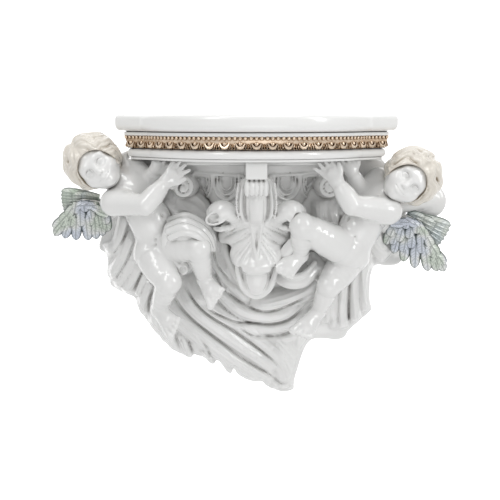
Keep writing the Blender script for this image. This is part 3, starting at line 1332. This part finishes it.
# %% Both children
BOARD_ROOM = [brick((-190, -200, 34.6), (190, 10, 80), 0.5), brick((-206, -216, 76), (206, 10, 110), 0.5)]
CHILD_GRAIN = 1.6

for name, pose, low, high in (
    ("left_child", LEFT, (-262, -166, -232), (-44, 4, 62)),
    ("right_child", RIGHT, (26, -166, -236), (252, 4, 50)),
):
    clay = Clay(low, high, CHILD_GRAIN)
    press_child(clay, pose)
    clay.press(BOARD_ROOM, 0.3, cut=True)
    child = clay.skin(name)
    polish(child, 3)
    finish_piece(child, glaze, "white_glaze")

# %% [markdown]
# ## Heads
# Both heads are cast from one model: a child's round skull, full cheeks, a short nose and a calm mouth, set
# out by the usual rules for a child's face, with the eyes at half height. It is modelled upright and then
# each copy is tilted into its place. Hair is another clay. It is combed over the skull from a parting in wavy
# ridges, each with finer strands on it, and loose curls are pressed on over the brow, beside the cheeks and
# on the nape.

# %% A calm, plain face
SKULL_MIDDLE = (0, 2, 6)
SKULL = (33, 37, 35)

head_clay = Clay((-46, -50, -50), (46, 48, 50), 1.05)
head_clay.press([ball(SKULL_MIDDLE, SKULL)])
head_clay.press([ball((0, -8, -12), (26, 27, 27))], 12)
head_clay.press([ball((0, -14, -28), (15, 16, 12))], 9)
for side in (-1, 1):
    head_clay.press([ball((side * 13.5, -22, -14), 12)], 8)
    head_clay.press([ball((side * 10, -27, 4), (11, 8, 7))], 8)
head_clay.press([ball((0, -27, -31), 8)], 7)
print("skull, cheeks and chin pressed")

# %% Eyes, ears, nose and mouth
UPPER_LID = [(5.6, -28.5, -5.6, 1.0), (9, -31.6, -2.2, 1.4), (13, -31.8, -1.6, 1.4), (18.6, -27.6, -5.4, 1.0)]
LOWER_LID = [(5.8, -28.5, -6.2, 0.8), (11.5, -31.2, -9.2, 1.1), (18.2, -27.4, -6.4, 0.8)]
BROW = [(4.5, -33.2, 3.4, 1.6), (12, -32.8, 6.2, 1.9), (20, -26.5, 3.2, 1.4)]
NOSE = [(0, -32, 2, 3), (0, -34.6, -6, 3.1), (0, -37, -12.6, 3.8)]
UPPER_LIP = [
    (-8.4, -32, -22.4, 1.3), (-4, -35.8, -21.6, 2.1), (0, -36.6, -22.2, 1.9), (4, -35.8, -21.6, 2.1),
    (8.4, -32, -22.4, 1.3),
]
LOWER_LIP = [(-7.2, -32.4, -23.8, 1.4), (0, -36, -26.6, 2.6), (7.2, -32.4, -23.8, 1.4)]
MOUTH_LINE = [(-8.8, -34.2, -22.8, 0.5), (0, -38.9, -24.0, 0.6), (8.8, -34.2, -22.8, 0.5)]

for side in (-1, 1):
    head_clay.press([ball((side * 12.5, -37, -4.5), (8.5, 9, 6.5))], 5, cut=True)
    head_clay.press([ball((side * 12, -25.2, -5), 6.6)], 0.8)
    head_clay.press(rope(on_side(side, UPPER_LID)), 1.0)
    head_clay.press(rope(on_side(side, LOWER_LID)), 1.0)
    head_clay.press(rope(on_side(side, BROW)), 4)
    head_clay.press([ball((side * 11.6, -32.2, -5), (1.5, 1.3, 1.5))], 0.8, cut=True)
    head_clay.press([ball((side * 4.3, -35.2, -15.2), (2.8, 3.2, 2.6))], 2)
    head_clay.press([ball((side * 33, 3, -7), (4, 8, 11))], 2)
    head_clay.press([ball((side * 37, 1, -6), (3, 4.5, 7))], 2, cut=True)
head_clay.press([ball((0, -28.5, -21.5), (11, 8, 7))], 6)
head_clay.press(rope(NOSE), 4)
head_clay.press([ball((0, -37.4, -13.4), (4.2, 4.2, 3.9))], 2)
for side in (-1, 1):
    head_clay.press([ball((side * 2.2, -37.8, -17.4), (0.8, 1.0, 0.8))], 0.8, cut=True)
head_clay.press(rope(UPPER_LIP), 1.6)
head_clay.press(rope(LOWER_LIP), 1.6)
head_clay.press(rope(MOUTH_LINE), 0.8, cut=True)
head_model = head_clay.skin("head")
polish(head_model, 3)


# %% Locks of hair
LOCK_STEPS = 13
HAIR_RADIUS = 38


def on_skull(azimuth, rise, lift):
    """A point over the skull. Azimuth 0 is the face, and rise runs from the crown at 90 degrees downwards."""
    a, r = math.radians(azimuth), math.radians(rise)
    way = math.cos(r) * math.sin(a), -math.cos(r) * math.cos(a), math.sin(r)
    return np.array([middle + (half + lift) * part for middle, half, part in zip(SKULL_MIDDLE, SKULL, way)])


def press_lock(clay, azimuths, rises, phase, girth, lift, wave, turns, curl):
    """A wavy lock over the skull, thick in its middle, with two grooves that part its strands."""
    stations = []
    for t in np.linspace(0, 1, LOCK_STEPS):
        azimuth = np.interp(t, np.linspace(0, 1, len(azimuths)), azimuths)
        rise = np.interp(t, np.linspace(0, 1, len(rises)), rises)
        swing = 2 * math.pi * turns * t + phase
        sway = wave * math.sin(swing) * min(1, 2.5 * t) + curl * max(0, t - 0.7) ** 2 * 60
        girth_here = girth * math.sin(math.pi * (0.12 + 0.84 * t)) ** 0.8
        round_skull = math.degrees(sway / HAIR_RADIUS) / max(math.cos(math.radians(rise)), 0.4)
        spot = on_skull(azimuth + round_skull, rise, lift + 1.2 * math.sin(swing + 1))
        stations.append((*spot, max(girth_here, 0.8)))
    clay.press(rope(stations, fine=2), 0.6)
    stations = np.array(stations)
    for share in (-0.38, 0.38):
        groove = []
        for before, (*spot, r), after in zip(stations, stations[1:], stations[2:]):
            out = unit(np.array(spot) - SKULL_MIDDLE)
            across = np.cross(unit(after[:3] - before[:3]), out)
            groove.append(station(spot + out * r + across * r * share, 0.9))
        clay.press(rope(groove, fine=2), 0.5, cut=True)


# %% Combed hair
LOCKS = 9


def comb(clay, parting, phase):
    """Combs the hair from the parting down both sides in thick wavy ridges, each split into finer strands."""
    x, y, z = clay.places(np.zeros(3, int), clay.count)
    tilted = math.radians(parting)
    x, y = x * math.cos(tilted) + y * math.sin(tilted) * 0.4, y - x * math.sin(tilted) * 0.4
    off = [(v - m) / half + 0 * (x + y + z) for v, m, half in zip((x, y, z), SKULL_MIDDLE, SKULL)]
    far = np.sqrt(sum(d**2 for d in off)) + 1e-6
    pole = unit((0.80, 0.12, -0.60))
    side = np.abs(off[0])
    rise = (side * pole[0] + off[1] * pole[1] + off[2] * pole[2]) / far
    fall = np.arccos(np.clip(rise, -1, 1))
    # the turn about the pole, nought at the brow
    first = unit(np.cross(pole, (0, 0, 1)))
    second = np.cross(pole, first)
    round_pole = np.arctan2(
        side * second[0] + off[1] * second[1] + off[2] * second[2],
        side * first[0] + off[1] * first[1] + off[2] * first[2],
    )
    long_wave = 0.17 * np.sin(5.2 * fall + phase + 0.6 * np.tanh(x / 8))
    sway = long_wave + 0.05 * np.sin(13 * fall + 3 * round_pole)
    turn = round_pole + sway
    ridge = np.abs(np.cos(LOCKS / 2 * turn)) ** 0.6
    strand = np.abs(np.cos(LOCKS * 1.5 * turn + 0.8 * np.sin(4 * fall))) ** 0.7
    swell = 0.9 * np.sin(7 * fall + 2 * round_pole + phase)
    full = np.clip((fall - 0.25) / 0.5, 0, 1) * (1 - 0.85 * np.exp(-((x / 5) ** 2)))
    lift = 6 * (1 - full) + full * (2.0 + 6.0 * ridge + 2.2 * strand + swell)
    clay.depth = np.minimum(clay.depth, ((far - 1) * SKULL[2] - lift) * 0.62).astype(np.float32)


# %% A head of hair
BROW_CURL = dict(girth=5.6, lift=5.0, wave=4.0, turns=1.3)
NAPE_CURL = dict(girth=5.6, lift=4.5, wave=4.5, turns=1.1)
NAPE_CURLS = [(70, 0, -46), (96, -10, -52), (124, -8, -48), (150, -12, -52)]  # azimuth, rises of the ends


def hair(name, seed, parting):
    """A head of hair in its own clay, with the room for the face cut out of it."""
    dice = np.random.default_rng(seed)
    clay = Clay((-60, -60, -56), (60, 62, 66), 1.15)
    comb(clay, parting, seed)
    clay.press([ball((0, -36, -14), (29, 34, 34))], 3, cut=True)
    clay.press([ball((0, -30, -46), (60, 60, 24))], 3, cut=True)
    # curls that spill over the brow, beside the cheeks and on the nape
    for side in (-1, 1):
        azimuths = [parting + side * 2, parting + side * 20, side * 46, side * 66]
        press_lock(clay, azimuths, [66, 56, 40, 18], dice.uniform(0, 6.3), curl=-side * 1.4, **BROW_CURL)
        for azimuth, start, end in NAPE_CURLS:
            azimuths = [side * azimuth, side * (azimuth + 4), side * (azimuth - 6)]
            press_lock(clay, azimuths, [start, -22, end], dice.uniform(0, 6.3), curl=side * 2.4, **NAPE_CURL)
    made = clay.skin(name)
    polish(made, 1)
    return made


# %% Tilt each head into its place
def head_place(centre, tilt, front):
    up = Vector((math.sin(tilt), 0, math.cos(tilt)))
    front = Vector(front)
    front = (front - up * front.dot(up)).normalized()
    back = -front
    right = back.cross(up)
    facing = Matrix((right, back, up)).transposed().to_4x4()
    return Matrix.Translation(Vector(centre) * MM) @ facing


for name, pose, tilt, front, seed, parting in (
    ("left", LEFT, -0.85, (0.12, -1, -0.12), 3, 14),
    ("right", RIGHT, 0.95, (-0.12, -1, -0.1), 8, -18),
):
    place = head_place(pose["head"], tilt, front)
    head = head_model.copy()
    head.data = head_model.data.copy()
    head.name = head.data.name = name + "_head"
    bpy.context.collection.objects.link(head)
    locks = hair(name + "_hair", seed, parting)
    for piece, finish, slot in ((head, glaze, "white_glaze"), (locks, hair_glaze, "hair_glaze")):
        piece.matrix_world = place
        finish_piece(piece, finish, slot)
bpy.data.objects.remove(head_model)

# %% [markdown]
# ## Wings
# A wing is rows of feathers over a padded bone. The near wing has long flight feathers first, then shorter
# and rounder ones over their roots like roof tiles, and small ones along its bone. The far wing is a fan
# behind it. Each feather is one shape: a grid drawn to the feather's outline and humped along its quill. It
# is copied along the rows with its own length and turn, and thickened. White clay pads tie the feathers to
# the back, as in the casting.

# %% One feather, one unit long and one unit wide
def feather_shape(name, point, steps_along=12, steps_across=8):
    """Runs along +x from the quill. point is 0 for a round tip and 1 for a pointed one."""
    bpy.ops.object.select_all(action="DESELECT")
    bpy.ops.mesh.primitive_grid_add(x_subdivisions=steps_along, y_subdivisions=steps_across, size=1)
    made = bpy.context.object
    made.name = made.data.name = name
    for vertex in made.data.vertices:
        t, u = math.sin(math.pi / 2 * (vertex.co.x + 0.5)), vertex.co.y * 2
        body = 0.7 + 0.3 * math.sin(math.pi / 2 * min(1, t * 1.5))
        blunt = max(0.0, 1 - max(0, (t - 0.55) / 0.45) ** (3 - 1.4 * point)) ** (0.5 + 0.3 * point)
        barbs = 0.02 * math.cos(14 * math.pi * t + 5 * abs(u)) * min(1, 2 * abs(u))
        quill = 0.06 * math.exp(-((u / 0.16) ** 2))
        rise = 0.26 * (1 - u * u) + quill + barbs
        bow = 0.1 * math.sin(math.pi * t)
        vertex.co = (t, u * 0.5 * body * max(blunt, 0.12), (rise + bow) * max(blunt, 0.15) ** 0.5)
    return made


# %% Wings of overlapping rows
def row(share, count, width, forward, point, length):
    """share tells how near its tips lie to the wing's edge, and forward how far it stands out of the wing."""
    return dict(share=share, count=count, width=width, forward=forward, point=point, length=length)


NEAR_ROWS = [
    row(1.0, 7, 17, 0, 0.1, 46),
    row(0.8, 6, 18, 2.6, 0, 28),
    row(0.6, 6, 17.5, 5.2, 0, 24),
    row(0.4, 5, 17, 7.8, 0, 20),
    row(0.2, 5, 16.5, 10.2, 0, 17),
]
FAR_ROWS = [row(1.0, 6, 16, -15, 0, 50), row(0.74, 5, 15, -12, 0, 34), row(0.5, 4, 14, -9, 0, 28)]
EDGE_FEATHERS = 8
BONE_STEPS = 40
FEATHER_THICKNESS = 1.8 * MM


def lay_feather(shape, root, side, turn, reach, length, width, forward, lean=0.04):
    """Lays a feather with its tip at reach from the root. A turn of nought points out, and a quarter down."""
    made = shape.copy()
    made.data = shape.data.copy()
    bpy.context.collection.objects.link(made)
    out = Vector((side * math.cos(turn), 0, -math.sin(turn)))
    face = Vector((0, -1, 0))
    leaned = (out + face * lean).normalized()
    across = face.cross(leaned).normalized()
    lift = leaned.cross(across)
    if lift.y > 0:
        lift, across = -lift, -across
    spot = Vector(root) + out * (reach - length) + face * forward
    basis = Matrix((leaned * length, across * width, lift * width)).transposed().to_4x4()
    made.matrix_world = Matrix.Scale(MM, 4) @ Matrix.Translation(spot) @ basis
    return made


def places_in_row(number, count):
    """The shares of the wing where a row's feathers lie. Every second row is shifted by half a feather."""
    shift = 0.5 if number % 2 else 0
    return [(i + shift) / (count - 0.5) for i in range(count)]


def far_feathers(shapes, root, side, far):
    """A fan of rows about one point."""
    first, last, reach, x, z = far
    laid = []
    for number, r in enumerate(FAR_ROWS):
        tip = reach * r["share"]
        length = min(r["length"], tip * 0.95)
        for i, share in enumerate(places_in_row(number, r["count"])):
            turn, forward = first + (last - first) * share, r["forward"] - 0.6 * i
            shape = shapes[r["point"]]
            laid.append(lay_feather(shape, (x, root[1], z), side, turn, tip, length, r["width"], forward))
    return laid


def near_feathers(shapes, root, side, bone):
    """Rows that hang from the bone, and small feathers that lie along it like tiles."""
    line = smooth_line(bone, BONE_STEPS + 1)
    laid = []
    for number, r in enumerate(NEAR_ROWS):
        for i, share in enumerate(places_in_row(number, r["count"])):
            x, z, turn, reach = line[round(BONE_STEPS * share)]
            tip = max(reach * r["share"], 7)
            length, forward = min(r["length"], tip + 8), r["forward"] + 0.5 * i
            shape, spot = shapes[r["point"]], (x, root[1], z)
            laid.append(lay_feather(shape, spot, side, math.radians(turn), tip, length, r["width"], forward))
    for i in range(EDGE_FEATHERS):
        step = round((BONE_STEPS - 2) * (EDGE_FEATHERS - 1 - i) / (EDGE_FEATHERS - 1))
        x, z, _, _ = line[step]
        ahead = line[min(BONE_STEPS, step + 3)]
        run = math.atan2(z - ahead[1], side * (ahead[0] - x))
        laid.append(lay_feather(shapes[0], (x, root[1], z + 1), side, run + 0.25, 13, 20, 14, 10.5 + 0.5 * i))
    return laid


def join_feathers(name, laid, wash):
    """Makes one piece of them and gives each its thickness."""
    feathers = join(name, laid)
    take(feathers)
    thick = feathers.modifiers.new("thick", "SOLIDIFY")
    thick.thickness = FEATHER_THICKNESS
    thick.offset = -1
    bpy.ops.object.modifier_apply(modifier=thick.name)
    bpy.ops.object.mode_set(mode="EDIT")
    bpy.ops.mesh.select_all(action="SELECT")
    bpy.ops.mesh.normals_make_consistent(inside=False)
    bpy.ops.object.mode_set(mode="OBJECT")
    finish_piece(feathers, wash, "wing_glaze", angle=50)


def wing_pad(name, root, chest, side, bone, lobe):
    """A stalk from the chest, a roll along the bone, a finger under each of its stations, and a lobe."""
    root, chest = np.array(root, float), np.array(chest, float)
    pad = Clay(np.minimum(root, chest) - 90, np.maximum(root, chest) + (90, 60, 90), 2.0)
    stalk = [station(chest, 13), station(root + (0, 6, 0), 14), station(root + (side * 14, 6, -4), 10)]
    pad.press(rope(stalk))
    pad.press(rope([(x, root[1] + 5, z, 7) for x, z, _, _ in bone]), 5)
    for x, z, turn, reach in bone:
        way = np.array([side * math.cos(math.radians(turn)), 0, -math.sin(math.radians(turn))])
        end = np.array([x, root[1] + 8, z]) + way * reach * 0.62
        pad.press(rope([(x, root[1] + 6, z, 7), station(end, 4)]), 6)
    if lobe:
        x, z, radius = lobe
        pad.press([ball((x, root[1] + 24, z), (radius, 7, radius))], 4)
        pad.press(rope([station(chest, 16), (x, root[1] + 24, z, 12)]), 6)
    padding = pad.skin(name)
    polish(padding, 2)
    finish_piece(padding, glaze, "white_glaze")


# %% Both wings
def wing(name, root, chest, bone, far, lobe=None):
    """bone's stations are (x, z, the feathers' turn in degrees, the longest feather's reach). far is the
    fan's first and last turn, its reach, and its middle's x and z. lobe is x, z and radius."""
    side = math.copysign(1, root[0])
    points = sorted({r["point"] for r in NEAR_ROWS + FAR_ROWS})
    shapes = {point: feather_shape("feather", point) for point in points}
    back = far_feathers(shapes, root, side, far)
    front = near_feathers(shapes, root, side, bone)
    for piece in back + front:
        take(piece)
        bpy.ops.object.transform_apply(location=True, rotation=True, scale=True)
    for shape in shapes.values():
        bpy.data.objects.remove(shape)
    join_feathers(name + "_back", back, back_glaze)
    join_feathers(name, front, wing_glaze)
    wing_pad(name + "_pad", root, chest, side, bone, lobe)


wing(
    "left_wing", LEFT["wing_root"], LEFT["chest"],
    bone=[(-226, -46, 98, 28), (-241, -35, 96, 49), (-258, -33, 92, 54), (-271, -38, 74, 48),
          (-279, -46, 47, 42)],
    far=(-0.16, 0.34, 62, -232, -24),
)
wing(
    "right_wing", RIGHT["wing_root"], RIGHT["chest"],
    bone=[(206, -62, 112, 34), (225, -58, 100, 58), (241, -65, 88, 66), (252, -78, 72, 58),
          (258, -90, 56, 52)],
    far=(0.3, 0.8, 84, 213, -42), lobe=(262, -30, 26),
)

# %% [markdown]
# ## Floor and backdrop
# The photograph has a plain white surround. A lit sheet of paper far behind the corbel gives that white, and
# a pale floor lies well below it. Neither touches the object.

# %% Floor and backdrop
def stage_plane(name, size, place, turn, brightness):
    bpy.ops.object.select_all(action="DESELECT")
    bpy.ops.mesh.primitive_plane_add(size=size, location=place, rotation=turn)
    plane = bpy.context.object
    plane.name = name
    paper, _, shader = new_finish(name)
    shader.inputs["Base Color"].default_value = (0.9, 0.9, 0.9, 1)
    shader.inputs["Roughness"].default_value = 1
    shader.inputs["Emission Color"].default_value = (1, 1, 1, 1)
    shader.inputs["Emission Strength"].default_value = brightness
    plane.data.materials.append(paper)


stage_plane("backdrop", 14, (0, 2.6, 0), (math.pi / 2, 0, 0), 0.75)
stage_plane("floor", 14, (0, 0, -1.6), (0, 0, 0), 0)
